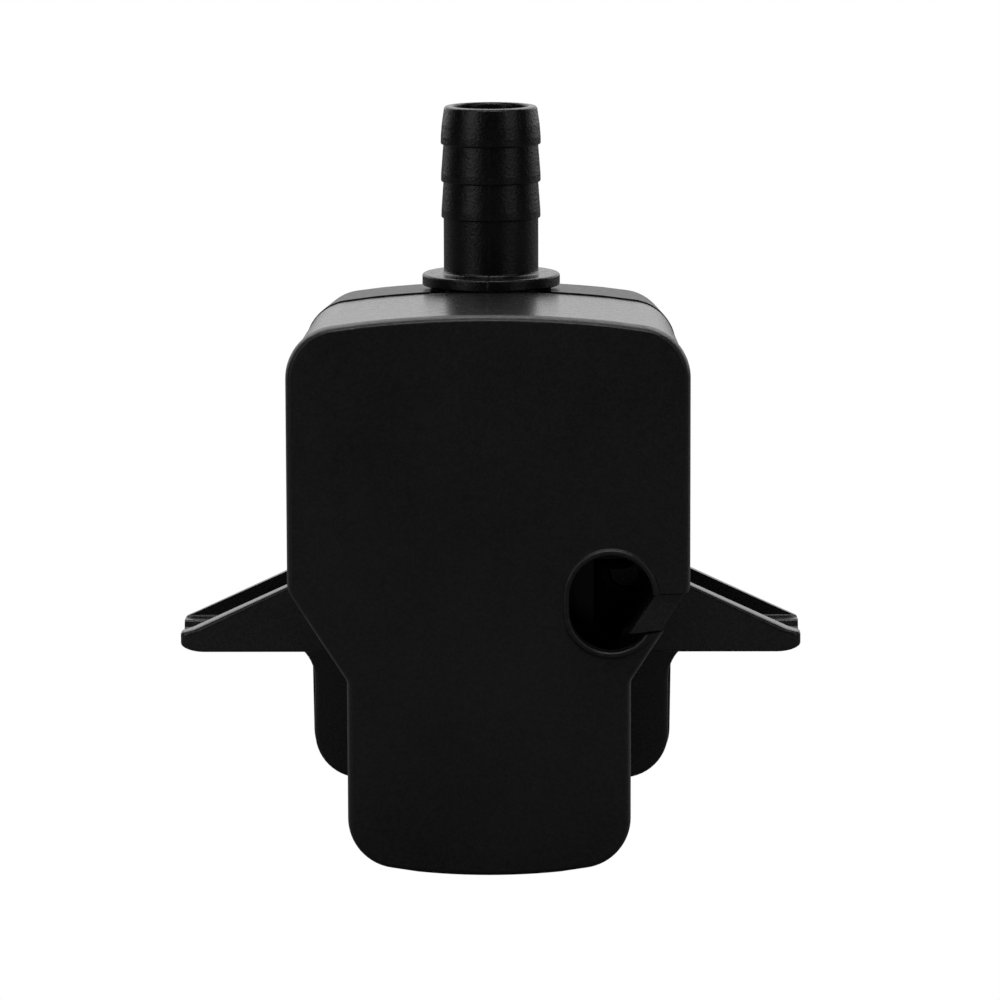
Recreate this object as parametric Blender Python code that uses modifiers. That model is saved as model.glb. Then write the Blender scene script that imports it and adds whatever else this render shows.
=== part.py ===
"""Submersible circulation pump with a barbed outlet, built as separate pieces.

Layout (metres, +Z up): the flat rear cap faces -Y, the strainer cover faces +Y,
the hose barb points up and two open-topped mounting wings stand out along X.
The origin is on the floor plane, at the middle of the whole pump's box.

All driving dimensions are in millimetres below. "d" is depth behind the flat
face of the rear cap, "z" is height above the lowest point of the rear cap.
"""
import bpy
import bmesh
from math import sin, cos, pi, sqrt, atan2, hypot
from mathutils import Vector, Matrix

MM = 0.001
GAP = 0.3                      # clearance kept between pieces that touch

# ---- placement of the working frame in the object's frame
D_FRONT = -0.45                # front of the raised bead round the cord hole
D_BACK = 66.6                  # back of the flow slider's finger ribs
YC = (D_FRONT + D_BACK) / 2
ZB = 0.4                       # the base pad stands this far below the rear cap

# ---- rear cap (flat keystone plate)
CAP_HALF_UP = 30.95
CAP_HALF_LO = 21.9
CAP_TOP = 87.17
CAP_BOTTOM = 0.0
CAP_Z_LO = 30.3                # lower end of the sloping sides
CAP_Z_UP = 44.4                # upper end of the sloping sides
CAP_T = 2.2
CAP_R_TOP = 8.2
CAP_R_BOT = 8.5
DOME_TOP = 182.0
DOME_BOT = 108.0

# ---- cord hole and slit in the rear cap
HOLE_X, HOLE_Z = 18.85, 42.62
HOLE_HW, HOLE_HH = 6.4, 7.5
BEAD_W = 1.0
BEAD_H = 0.45

# ---- motor housing
HOUS_D0 = CAP_T + 0.2
HOUS_D1 = 38.0
HOUS_WALL = 3.4
HOUS_INSET = 0.3
HOUS_BACK_HALF_UP = 29.35
HOUS_BACK_TOP = 86.35
HOUS_BACK_WALL = 1.4
PLATE_D0 = 33.5                # front of the flange plate round the lower block
BLOCK_HALF = 28.3
BLOCK_BOTTOM = 8.3
BLOCK_R = 7.3

# ---- mounting wings
WING_D0, WING_D1 = 22.0, 38.0
WING_BOTTOM = 31.05
WING_FLOOR = 34.3
WING_TIP = 48.95
WING_WALL_F = 3.0
WING_WALL_B = 2.8
WING_FILLET = 7.0

# ---- rotor axis and pump chamber
ZR = 31.5
CHAMBER_R = 16.5
CHAMBER_WALL = 1.8
CHAMBER_D1 = 54.0
VOL_D0 = HOUS_D1 + GAP
VOL_FLANGE_T = 3.0
SCREW_X, SCREW_DZ = 21.5, 11.0

# ---- outlet
NOZ_D = 47.5
NECK_R = 7.6
BORE_R = 6.0
BARB_R = 8.0
NOZ_TOP = 115.2
FLANGE_R = 11.05
FLANGE_Z0, FLANGE_Z1 = 86.45, 88.35
BARB_STEPS = (109.1, 103.1, 97.3)

# ---- strainer cover
COV_D0 = HOUS_D1 + GAP
COV_D1 = 64.0
COV_WALL = 1.8
NOTCH_HALF = 9.65

# ---- motor
CAN_D0, CAN_D1 = 12.3, 36.3
CAN_WALL = 1.2
CAN_HALF_LO, CAN_HALF_UP = 17.7, 22.7
CAN_Z0, CAN_ZS, CAN_Z1 = 17.1, 46.0, 80.5
STACK_D0, STACK_D1 = 18.5, 30.5
LEG_X0, LEG_X1 = 8.0, 16.0
WELL_R, WELL_BORE = 9.0, 7.8
SHAFT_R = 1.25
SHAFT_BORE = 1.31


# ------------------------------------------------------------------ scene
for ob in list(bpy.data.objects):
    bpy.data.objects.remove(ob, do_unlink=True)

PARTS = bpy.data.collections.new("submersible_circulation_pump")
CUTTERS = bpy.data.collections.new("cutters")
bpy.context.scene.collection.children.link(PARTS)
bpy.context.scene.collection.children.link(CUTTERS)

MATS = {}


def material(name, rgb, rough, metal=0.0):
    m = bpy.data.materials.new(name)
    m.use_nodes = True
    b = m.node_tree.nodes["Principled BSDF"]
    b.inputs["Base Color"].default_value = (rgb[0], rgb[1], rgb[2], 1.0)
    b.inputs["Roughness"].default_value = rough
    b.inputs["Metallic"].default_value = metal
    m.diffuse_color = (rgb[0], rgb[1], rgb[2], 1.0)
    return m


def pt(x, d, z):
    """A point given by x, depth and height (mm) as metres in the object's frame."""
    return Vector((x * MM, (d - YC) * MM, (z + ZB) * MM))


def new_object(name, mesh, collection=None):
    ob = bpy.data.objects.new(name, mesh)
    (collection or CUTTERS).objects.link(ob)
    if collection is None:
        ob.display_type = 'WIRE'
        ob.hide_render = True
    return ob


def finish_piece(ob, mat, origin=None, sharp=32.0):
    """Move a finished piece into the parts collection with its own material."""
    if ob.name in CUTTERS.objects:
        CUTTERS.objects.unlink(ob)
        PARTS.objects.link(ob)
    ob.display_type = 'TEXTURED'
    ob.hide_render = False
    ob.data.materials.clear()
    ob.data.materials.append(mat)
    if origin is not None:
        ob.data.transform(Matrix.Translation(-origin))
        ob.location = origin
    ob.data.shade_smooth()
    ob.data.set_sharp_from_angle(angle=sharp * pi / 180)
    return ob


# ------------------------------------------------------------------ outlines
def rounded(verts, closed=True):
    """Polygon from (x, z, radius, steps) corners, each rounded by an arc."""
    out = []
    n = len(verts)
    for i, v in enumerate(verts):
        x, z, r, k = v
        if r <= 0 or (not closed and i in (0, n - 1)):
            out.append((x, z))
            continue
        ax, az = verts[i - 1][0] - x, verts[i - 1][1] - z
        bx, bz = verts[(i + 1) % n][0] - x, verts[(i + 1) % n][1] - z
        la, lb = hypot(ax, az), hypot(bx, bz)
        ax, az, bx, bz = ax / la, az / la, bx / lb, bz / lb
        cosang = max(-1.0, min(1.0, ax * bx + az * bz))
        half = sqrt(max(1e-12, (1 - cosang) / 2))       # sine of half the corner angle
        t = r / half * sqrt(max(1e-12, (1 + cosang) / 2))
        mx, mz = ax + bx, az + bz
        lm = hypot(mx, mz)
        cx, cz = x + mx / lm * r / half, z + mz / lm * r / half
        a0 = atan2(z + az * t - cz, x + ax * t - cx)
        a1 = atan2(z + bz * t - cz, x + bx * t - cx)
        da = a1 - a0
        while da > pi:
            da -= 2 * pi
        while da < -pi:
            da += 2 * pi
        for j in range(k + 1):
            an = a0 + da * j / k
            out.append((round(cx + r * cos(an), 6), round(cz + r * sin(an), 6)))
    return out


def mirror_loop(half):
    """Close a right-hand half outline, which runs from x=0 to x=0, with its mirror."""
    left = [(-x, z) for x, z in reversed(half) if x > 1e-6]
    return half + left


def keystone(inset=0.0, half_up=CAP_HALF_UP, half_lo=CAP_HALF_LO, top=CAP_TOP,
             bottom=CAP_BOTTOM, r_top=CAP_R_TOP, r_bot=CAP_R_BOT):
    """Outline of the rear cap and of the motor housing, set in by inset."""
    hu, hl = half_up - inset, half_lo - inset
    t, b = top - inset, bottom + inset
    zl, zu = CAP_Z_LO + 0.55 * inset, CAP_Z_UP + 0.55 * inset
    verts = [(0, b, 0, 0),
             (6.0, b + 36 / (2 * DOME_BOT), 0, 0),
             (11.0, b + 121 / (2 * DOME_BOT), 0, 0),
             (hl, b + hl * hl / (2 * DOME_BOT), max(r_bot - inset, 1.0), 6),
             (hl, zl, 1.5 + inset, 2),
             (hu, zu, max(3.6 - inset, 0.8), 3),
             (hu, t - hu * hu / (2 * DOME_TOP), max(r_top - inset, 1.0), 6),
             (16.0, t - 256 / (2 * DOME_TOP), 0, 0),
             (8.0, t - 64 / (2 * DOME_TOP), 0, 0),
             (0, t, 0, 0)]
    return mirror_loop(rounded(verts, closed=False))


def cover_outline(half_up, half_lo, top, bottom, r_top, r_bot):
    """Outline of the strainer cover."""
    verts = [(0, bottom, 0, 0),
             (half_lo, bottom, r_bot, 6),
             (half_up, top - half_up * half_up / (2 * DOME_TOP), r_top, 6),
             (16.0, top - 256 / (2 * DOME_TOP), 0, 0),
             (8.0, top - 64 / (2 * DOME_TOP), 0, 0),
             (0, top, 0, 0)]
    return mirror_loop(rounded(verts, closed=False))


def circle(cx, cz, r, n=32):
    return [(cx + r * cos(2 * pi * i / n), cz + r * sin(2 * pi * i / n)) for i in range(n)]


def obround(cx, cz, hw, hh, n=10):
    """Upright slot outline with round ends of radius hw."""
    s = hh - hw
    pts = [(cx + hw * cos(pi * i / n), cz + s + hw * sin(pi * i / n)) for i in range(n + 1)]
    pts += [(cx - hw * cos(pi * i / n), cz - s - hw * sin(pi * i / n)) for i in range(n + 1)]
    return pts


# ------------------------------------------------------------------ shape helpers
def freeze(ob, name):
    """Turn a curve or a modified object into a plain mesh, with its place kept."""
    dg = bpy.context.evaluated_depsgraph_get()
    dg.update()
    me = bpy.data.meshes.new_from_object(ob.evaluated_get(dg))
    me.transform(ob.matrix_world)
    bm = bmesh.new()
    bm.from_mesh(me)
    bmesh.ops.remove_doubles(bm, verts=bm.verts, dist=0.000002)
    bmesh.ops.recalc_face_normals(bm, faces=bm.faces)
    bmesh.ops.dissolve_limit(bm, angle_limit=0.0005, use_dissolve_boundaries=False, verts=[], edges=bm.edges)
    bm.to_mesh(me)
    bm.free()
    bpy.data.objects.remove(ob, do_unlink=True)
    me.name = name
    return new_object(name, me)


def flat(name, loops, lo, hi, plane="xz"):
    """Outline loops (mm) extruded from lo to hi: along depth for "xz", along height for "xd"."""
    mid, span = (lo + hi) / 2, hi - lo
    if plane == "xz":
        turn = Matrix.Translation((0, (mid - YC) * MM, ZB * MM)) @ Matrix.Rotation(pi / 2, 4, 'X')
    else:
        turn = Matrix.Translation((0, -YC * MM, (mid + ZB) * MM))
    if len(loops) == 1:
        # one outline: a single flat face, extruded through the thickness
        bm = bmesh.new()
        vs = [bm.verts.new((u * MM, v * MM, -span / 2 * MM)) for u, v in loops[0]]
        es = [bm.edges.new((vs[i - 1], vs[i])) for i in range(len(vs))]
        face = bmesh.ops.contextual_create(bm, geom=es)["faces"]
        top = bmesh.ops.extrude_face_region(bm, geom=face, use_keep_orig=True)["geom"]
        bmesh.ops.translate(bm, vec=(0, 0, span * MM), verts=[g for g in top if isinstance(g, bmesh.types.BMVert)])
        bmesh.ops.recalc_face_normals(bm, faces=bm.faces)
        me = bpy.data.meshes.new(name)
        bm.to_mesh(me)
        bm.free()
        me.transform(turn)
        return new_object(name, me)
    cu = bpy.data.curves.new(name + "_outline", 'CURVE')
    cu.dimensions = '2D'
    cu.fill_mode = 'BOTH'
    cu.extrude = span / 2 * MM
    for loop in loops:
        sp = cu.splines.new('POLY')
        sp.points.add(len(loop) - 1)
        for p, (u, v) in zip(sp.points, loop):
            p.co = (u * MM, v * MM, 0, 1)
        sp.use_cyclic_u = True
    ob = bpy.data.objects.new(name + "_outline", cu)
    CUTTERS.objects.link(ob)
    ob.matrix_world = turn
    bpy.context.view_layer.update()
    return freeze(ob, name)


def loft(name, sections):
    """Closed body through (depth, outline) sections that have equal point counts."""
    bm = bmesh.new()
    rings = [[bm.verts.new(pt(x, d, z)) for x, z in loop] for d, loop in sections]
    n = len(rings[0])
    for a, b in zip(rings, rings[1:]):
        for i in range(n):
            j = (i + 1) % n
            bm.faces.new((a[i], a[j], b[j], b[i]))
    bmesh.ops.triangulate(bm, faces=bm.faces)
    bm.faces.new(list(reversed(rings[0])))
    bm.faces.new(rings[-1])
    bmesh.ops.recalc_face_normals(bm, faces=bm.faces)
    me = bpy.data.meshes.new(name)
    bm.to_mesh(me)
    bm.free()
    return new_object(name, me)


def turned(name, profile, axis, at, steps=32, closed=False):
    """Profile of (radius, height) turned about an axis through at.

    axis "z": height is z, at is (x, d). axis "d": height is depth, at is (x, z).
    """
    me = bpy.data.meshes.new(name)
    vs = [(r * MM, 0, h * MM) for r, h in profile]
    es = [(i, i + 1) for i in range(len(vs) - 1)]
    if closed:
        es.append((len(vs) - 1, 0))
    me.from_pydata(vs, es, [])
    ob = bpy.data.objects.new(name + "_profile", me)
    CUTTERS.objects.link(ob)
    sc = ob.modifiers.new("turn", 'SCREW')
    sc.axis = 'Z'
    sc.steps = steps
    sc.render_steps = steps
    sc.use_merge_vertices = True
    sc.merge_threshold = 0.000002
    if axis == "z":
        ob.location = (at[0] * MM, (at[1] - YC) * MM, ZB * MM)
    else:
        ob.rotation_euler = (-pi / 2, 0, 0)
        ob.location = (at[0] * MM, -YC * MM, (at[1] + ZB) * MM)
    bpy.context.view_layer.update()
    return freeze(ob, name)


def box(name, x0, x1, d0, d1, z0, z1):
    bpy.ops.mesh.primitive_cube_add(size=1)
    ob = bpy.context.active_object
    ob.name = name
    me = ob.data
    me.transform(Matrix.Diagonal(((x1 - x0) * MM, (d1 - d0) * MM, (z1 - z0) * MM, 1)))
    me.transform(Matrix.Translation(pt((x0 + x1) / 2, (d0 + d1) / 2, (z0 + z1) / 2)))
    for c in list(ob.users_collection):
        c.objects.unlink(ob)
    CUTTERS.objects.link(ob)
    ob.display_type = 'WIRE'
    ob.hide_render = True
    return ob


def rod(name, axis, at, r, lo, hi, steps=32):
    return turned(name, [(0, hi), (r, hi), (r, lo), (0, lo)], axis, at, steps)


def combine(ob, other, op):
    m = ob.modifiers.new(other.name, 'BOOLEAN')
    m.operation = op
    m.solver = 'EXACT'
    m.object = other
    return ob


def cut(ob, *others):
    for o in others:
        combine(ob, o, 'DIFFERENCE')
    return ob


def join(ob, *others):
    for o in others:
        combine(ob, o, 'UNION')
    return ob


def bake(ob):
    """Apply an object's modifiers, so it can itself be used in another cut."""
    name = ob.name
    ob.name = name + "_raw"
    col = ob.users_collection[0]
    new = freeze(ob, name)
    if col is PARTS:
        CUTTERS.objects.unlink(new)
        PARTS.objects.link(new)
    return new


def bevel(ob, width, segments=2, angle=40):
    m = ob.modifiers.new("edge", 'BEVEL')
    m.width = width * MM
    m.segments = segments
    m.limit_method = 'ANGLE'
    m.angle_limit = angle * pi / 180
    m.harden_normals = False
    return ob


# ------------------------------------------------------------------ materials
BLACK = (0.016, 0.016, 0.017)
m_cap = material("cap_black_plastic", BLACK, 0.52)
m_housing = material("housing_black_plastic", BLACK, 0.48)
m_cover = material("cover_black_plastic", BLACK, 0.48)
m_volute = material("volute_black_plastic", BLACK, 0.42)
m_slider = material("slider_grey_plastic", (0.10, 0.11, 0.12), 0.5)
m_can = material("can_dark_plastic", (0.02, 0.02, 0.022), 0.6)
m_resin = material("potting_resin", (0.012, 0.012, 0.013), 0.2)
m_steel = material("stator_steel", (0.42, 0.42, 0.43), 0.4, 1.0)
m_copper = material("winding_copper", (0.72, 0.33, 0.14), 0.32, 1.0)
m_bobbin = material("bobbin_nylon", (0.78, 0.76, 0.68), 0.5)
m_fuse = material("fuse_white", (0.80, 0.80, 0.78), 0.5)
m_rubber = material("black_rubber", (0.02, 0.02, 0.02), 0.8)
m_magnet = material("ferrite_magnet", (0.06, 0.06, 0.065), 0.5)
m_sleeve = material("rotor_nylon", (0.75, 0.74, 0.70), 0.45)
m_impeller = material("impeller_plastic", (0.70, 0.71, 0.72), 0.4)
m_ceramic = material("shaft_ceramic", (0.86, 0.85, 0.82), 0.25)
m_washer = material("washer_ceramic", (0.82, 0.80, 0.76), 0.35)
m_screw = material("stainless_screw", (0.60, 0.60, 0.62), 0.28, 1.0)

# ------------------------------------------------------------------ rear cap
cap = flat("rear_cap", [keystone()], 0.0, CAP_T)
bevel(cap, 0.9, 2, 60)
cap = bake(cap)
bead = flat("cap_bead", [obround(HOLE_X, HOLE_Z, HOLE_HW + BEAD_W, HOLE_HH + BEAD_W)], -BEAD_H, 1.0)
bevel(bead, 0.3, 2, 60)
bead = bake(bead)
skirt = flat("cap_skirt", [keystone(HOUS_INSET + HOUS_WALL + 0.35),
                           keystone(HOUS_INSET + HOUS_WALL + 1.55)], CAP_T - 0.4, 6.0)
skirt_gap = box("cap_skirt_gap", 8.0, 36.0, CAP_T, 8.0, 30.0, 56.0)
cut(skirt, skirt_gap)
skirt = bake(skirt)
posts = [rod("cap_post_%d" % i, "d", (x, z), 1.8, CAP_T - 0.4, CAN_D0 - GAP, 16)
         for i, (x, z) in enumerate(((19.2, 76.0), (-19.2, 76.0), (13.6, 20.4), (-13.6, 20.4)))]
hole = flat("cap_hole", [obround(HOLE_X, HOLE_Z, HOLE_HW, HOLE_HH)], -3.0, 5.0)
slit = flat("cap_slit", [[(20.0, 37.4), (23.9, 37.75), (34.0, 39.0), (34.0, 44.4), (20.0, 43.9)]], -3.0, 5.0)
join(cap, bead, skirt, *posts)
cut(cap, hole, slit)
finish_piece(cap, m_cap)

# ------------------------------------------------------------------ motor housing
house = loft("motor_housing", [
    (HOUS_D0, keystone(HOUS_INSET)),
    (HOUS_D1 + 0.6, keystone(HOUS_INSET, half_up=HOUS_BACK_HALF_UP + HOUS_INSET, half_lo=CAP_HALF_LO,
                       top=HOUS_BACK_TOP + HOUS_INSET, r_top=CAP_R_TOP - 0.7))])
inner = loft("housing_hollow", [
    (HOUS_D0 - 1.0, keystone(HOUS_INSET + HOUS_WALL)),
    (HOUS_D1 - HOUS_BACK_WALL, keystone(HOUS_INSET + HOUS_WALL, half_up=HOUS_BACK_HALF_UP + HOUS_INSET,
                                        half_lo=CAP_HALF_LO, top=HOUS_BACK_TOP + HOUS_INSET,
                                        r_top=CAP_R_TOP - 0.7))])
plate_right = [(BLOCK_HALF, BLOCK_BOTTOM, BLOCK_R, 6),
               (BLOCK_HALF, WING_BOTTOM + 0.02, WING_FILLET, 6),
               (BLOCK_HALF + WING_FILLET + 1.0, WING_BOTTOM + 0.02, 0, 0),
               (BLOCK_HALF + WING_FILLET + 1.0, WING_BOTTOM + 1.5, 0, 0)]
plate_loop = rounded(plate_right + [(-x, z, r, k) for x, z, r, k in reversed(plate_right)])
plate = flat("housing_plate", [plate_loop], PLATE_D0, HOUS_D1 + 1.6)


def wing(name, s):
    """One wing: a wedge with a channel that is open at the top and at the tip."""
    prof = rounded([(20.0, WING_BOTTOM, 0, 0),
                    (WING_TIP, WING_BOTTOM, 2.4, 4),
                    (WING_TIP, 34.5, 0.5, 2),
                    (47.5, 34.75, 0, 0),
                    (20.0, 34.75 + 27.5 * 0.457, 0, 0)])
    loop = [(s * x, z) for x, z in prof]
    w = flat(name, [loop], WING_D0, WING_D1 + 1.2)
    x0, x1 = sorted((s * 15.0, s * 60.0))
    ch = box(name + "_channel", x0, x1, WING_D0 + WING_WALL_F, WING_D1 - WING_WALL_B, WING_FLOOR, 60.0)
    cut(w, ch)
    return bake(w)


wing_r = wing("wing_right", 1)
wing_l = wing("wing_left", -1)
pad = box("housing_pad", -12.0, 12.0, 8.0, 33.0, -ZB, 2.0)
bosses = [rod("boss_%d" % i, "d", (s * SCREW_X, ZR + SCREW_DZ), 2.9, 31.5, 37.2, 16)
          for i, s in enumerate((1, -1))]
well_hole = rod("housing_well_hole", "d", (0, ZR), CHAMBER_R, 30.0, 45.0, 48)
back_trim = box("housing_back_trim", -60.0, 60.0, HOUS_D1, HOUS_D1 + 8.0, -5.0, 100.0)
for extra in (plate, wing_r, wing_l, pad):
    join(house, extra)
    house = bake(house)
for cutter in (back_trim, inner):
    cut(house, cutter)
    house = bake(house)
for boss in bosses:
    join(house, boss)
    house = bake(house)
pilot = [rod("pilot_%d" % i, "d", (sx * SCREW_X, ZR + sz * SCREW_DZ), 1.5, 34.4, 40.0, 16)
         for i, (sx, sz) in enumerate(((1, 1), (-1, 1), (1, -1), (-1, -1)))]
cut(house, well_hole, *pilot)
finish_piece(house, m_housing)

# ------------------------------------------------------------------ motor can with rotor well
def can_outline(inset):
    u, l = CAN_HALF_UP - inset, CAN_HALF_LO - inset
    right = [(l, CAN_Z0 + inset, max(3.0 - inset, 0.6), 3),
             (l, CAN_ZS + inset, 0, 0),
             (u, CAN_ZS + inset, max(1.5 - inset, 0.5), 2),
             (u, CAN_Z1 - inset, max(3.0 - inset, 0.6), 3)]
    return rounded(right + [(-x, z, r, k) for x, z, r, k in reversed(right)])


can = flat("motor_can", [can_outline(0)], CAN_D0, CAN_D1)
can_pocket = flat("can_pocket", [can_outline(CAN_WALL)], CAN_D0 - 1, CAN_D1 - 1.1)
well = rod("can_well", "d", (0, ZR), WELL_R, 13.0, CAN_D1 - 0.5, 40)
well_bore = turned("can_well_bore", [(0, 40.0), (WELL_BORE, 40.0), (WELL_BORE, 17.4), (4.8, 17.4),
                                     (4.8, 14.2), (0, 14.2)], "d", (0, ZR), 40)
cut(can, can_pocket)
can = bake(can)
join(can, well)
can = bake(can)
cut(can, well_bore)
finish_piece(can, m_can)

# ------------------------------------------------------------------ potting resin
resin = flat("potting_resin", [can_outline(CAN_WALL + GAP)], 12.8, 13.7)
resin_lo = flat("resin_lower", [rounded([(-CAN_HALF_LO + 1.6, CAN_Z0 + 1.6, 1.0, 2), (CAN_HALF_LO - 1.6, CAN_Z0 + 1.6, 1.0, 2),
                                         (CAN_HALF_LO - 1.6, CAN_ZS - 0.5, 0, 0), (-CAN_HALF_LO + 1.6, CAN_ZS - 0.5, 0, 0)])],
                13.2, STACK_D0 - GAP)
resin_eye = rod("resin_eye", "d", (0, ZR), WELL_R + GAP, 10.0, 25.0, 40)
join(resin, resin_lo)
cut(resin, resin_eye)
finish_piece(resin, m_resin)

# ------------------------------------------------------------------ stator
core = flat("stator_core", [[(-LEG_X1, 19.0), (LEG_X1, 19.0), (LEG_X1, 70.6), (LEG_X0, 70.6),
                             (LEG_X0, 45.4), (-LEG_X0, 45.4), (-LEG_X0, 70.6), (-LEG_X1, 70.6)],
                            circle(0, ZR, WELL_R + GAP, 40)], STACK_D0, STACK_D1)
finish_piece(core, m_steel)
yoke = flat("stator_yoke", [rounded([(-LEG_X1, 70.9, 0, 0), (LEG_X1, 70.9, 0, 0), (LEG_X1, 78.9, 1.5, 3),
                                     (-LEG_X1, 78.9, 1.5, 3)])], STACK_D0, STACK_D1)
finish_piece(yoke, m_steel)

BOB_Z0, BOB_Z1 = 47.6, 70.3


def ring_xd(cx, grow, r):
    """Rounded rectangle round one leg of the core, in the (x, depth) plane."""
    hx = (LEG_X1 - LEG_X0) / 2 + grow
    hd = (STACK_D1 - STACK_D0) / 2 + grow
    cd = (STACK_D0 + STACK_D1) / 2
    return rounded([(cx - hx, cd - hd, r, 3), (cx + hx, cd - hd, r, 3),
                    (cx + hx, cd + hd, r, 3), (cx - hx, cd + hd, r, 3)])


for side, s in (("left", -1), ("right", 1)):
    cx = s * (LEG_X0 + LEG_X1) / 2
    tube = flat("bobbin_" + side, [ring_xd(cx, 1.1, 0.8)], BOB_Z0 + 0.1, BOB_Z1 - 0.1, "xd")
    lo = flat("bobbin_lo_" + side, [ring_xd(cx, 4.5, 1.6)], BOB_Z0, BOB_Z0 + 0.9, "xd")
    hi = flat("bobbin_hi_" + side, [ring_xd(cx, 4.5, 1.6)], BOB_Z1 - 0.9, BOB_Z1, "xd")
    window = flat("bobbin_window_" + side, [ring_xd(cx, 0.3, 0.2)], BOB_Z0 - 2, BOB_Z1 + 2, "xd")
    join(tube, lo, hi)
    cut(tube, window)
    finish_piece(tube, m_bobbin)
    coil = flat("coil_" + side, [ring_xd(cx, 4.3, 2.2), ring_xd(cx, 1.4, 1.0)], BOB_Z0 + 1.2, BOB_Z1 - 1.2, "xd")
    finish_piece(coil, m_copper)

fuse = rod("thermal_fuse", "z", (0, 24.5), 1.9, 50.5, 64.5, 20)
bevel(fuse, 0.4, 2, 60)
finish_piece(fuse, m_fuse)

grommet = turned("cord_grommet", [(4.6, 12.4), (4.6, 11.2), (3.9, 10.7), (3.4, 6.6), (2.6, 6.6), (2.6, 12.4)][::-1],
                 "d", (-6.0, 60.0), 28, closed=True)
finish_piece(grommet, m_rubber)

# ------------------------------------------------------------------ rotor
AXIS = pt(0, 0, ZR)
AXIS.y = 0.0

magnet = turned("rotor_magnet", [(7.0, 30.6), (7.2, 30.4), (7.2, 19.2), (7.0, 19.0), (3.35, 19.0), (3.35, 30.6)],
                "d", (0, ZR), 40, closed=True)
finish_piece(magnet, m_magnet, AXIS)
sleeve = turned("rotor_sleeve", [(3.4, 40.2), (3.4, 32.2), (6.6, 32.2), (6.6, 30.9), (3.05, 30.9), (3.05, 18.6),
                                 (SHAFT_BORE, 18.6), (SHAFT_BORE, 40.2)], "d", (0, ZR), 32, closed=True)
finish_piece(sleeve, m_sleeve, AXIS)

imp = turned("impeller", [(4.0, 55.0), (4.2, 54.6), (4.2, 42.2), (14.5, 42.2), (14.5, 41.0), (4.2, 40.5),
                          (SHAFT_BORE, 40.5), (SHAFT_BORE, 55.0)], "d", (0, ZR), 48, closed=True)
for i in range(6):
    a = 2 * pi * i / 6 + pi / 6
    b = box("blade_%d" % i, 3.4, 14.9, 41.6, 52.0, ZR - 0.6, ZR + 0.6)
    c = pt(0, 0, ZR)
    b.data.transform(Matrix.Translation(c) @ Matrix.Rotation(a, 4, 'Y') @ Matrix.Translation(-c))
    join(imp, b)
imp = bake(imp)
finish_piece(imp, m_impeller, AXIS)

shaft = turned("shaft", [(0, 58.6), (SHAFT_R - 0.2, 58.6), (SHAFT_R, 58.4), (SHAFT_R, 15.3), (SHAFT_R - 0.2, 15.1), (0, 15.1)],
               "d", (0, ZR), 32)
finish_piece(shaft, m_ceramic)
rear_bush = turned("rear_bush", [(0, 14.9), (SHAFT_R + 0.06, 14.9), (SHAFT_R + 0.06, 17.3), (4.2, 17.3), (4.5, 17.0),
                                 (4.5, 14.5), (0, 14.5)], "d", (0, ZR), 32)
finish_piece(rear_bush, m_rubber)
washer_r = turned("thrust_washer_rear", [(3.6, 18.3), (3.6, 17.6), (SHAFT_BORE, 17.6), (SHAFT_BORE, 18.3)],
                  "d", (0, ZR), 32, closed=True)
finish_piece(washer_r, m_washer)
washer_f = turned("thrust_washer_front", [(3.4, 56.0), (3.4, 55.3), (SHAFT_BORE, 55.3), (SHAFT_BORE, 56.0)],
                  "d", (0, ZR), 32, closed=True)
finish_piece(washer_f, m_washer)
front_bush = turned("front_bush", [(0, 58.9), (SHAFT_R + 0.06, 58.9), (SHAFT_R + 0.06, 56.4), (3.0, 56.4), (3.0, 59.3),
                                   (0, 59.3)][::-1], "d", (0, ZR), 32)
finish_piece(front_bush, m_rubber)

# ------------------------------------------------------------------ volute housing with hose barb
CH_OUT = CHAMBER_R + CHAMBER_WALL
vol = rod("volute_housing", "d", (0, ZR), CH_OUT, VOL_D0, CHAMBER_D1 + 2.0, 48)
vol_disc = rod("volute_disc", "d", (0, ZR), 21.2, VOL_D0, VOL_D0 + VOL_FLANGE_T, 48)
ears = flat("volute_ears", [rounded([(x, ZR + z, 4.0, 4) for x, z in
                                     ((-25.2, -14.6), (25.2, -14.6), (25.2, 14.6), (-25.2, 14.6))])],
            VOL_D0, VOL_D0 + VOL_FLANGE_T)
neck_prof = [(0, NOZ_TOP), (7.2, NOZ_TOP), (7.44, NOZ_TOP - 0.3), (7.83, 112.3), (BARB_R, 109.9), (BARB_R, BARB_STEPS[0] + 0.15),
             (7.9, BARB_STEPS[0]), (7.58, BARB_STEPS[0]),
             (7.62, 107.5), (7.97, 103.9), (7.97, BARB_STEPS[1] + 0.15), (7.87, BARB_STEPS[1]), (7.57, BARB_STEPS[1]),
             (7.6, 101.5), (7.93, 98.4), (7.93, BARB_STEPS[2] + 0.2), (7.8, BARB_STEPS[2]), (NECK_R, BARB_STEPS[2]),
             (NECK_R, FLANGE_Z1 + 0.6), (NECK_R + 0.6, FLANGE_Z1), (FLANGE_R - 0.45, FLANGE_Z1), (FLANGE_R, FLANGE_Z1 - 0.45),
             (FLANGE_R, FLANGE_Z0 + 0.3), (FLANGE_R - 0.3, FLANGE_Z0), (NECK_R, FLANGE_Z0), (NECK_R, ZR + 8.0), (0, ZR + 8.0)]
neck = turned("volute_neck", neck_prof, "z", (0, NOZ_D), 48)
collar = rod("inlet_collar", "d", (0, ZR), 9.8, CHAMBER_D1 + 1.0, 59.6, 40)
join(vol, vol_disc, ears, neck, collar)
vol = bake(vol)
chamber = rod("volute_chamber", "d", (0, ZR), CHAMBER_R, VOL_D0 - 2.0, CHAMBER_D1, 48)
eye = rod("inlet_eye", "d", (0, ZR), 8.0, CHAMBER_D1 - 1.0, 62.0, 40)
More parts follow.
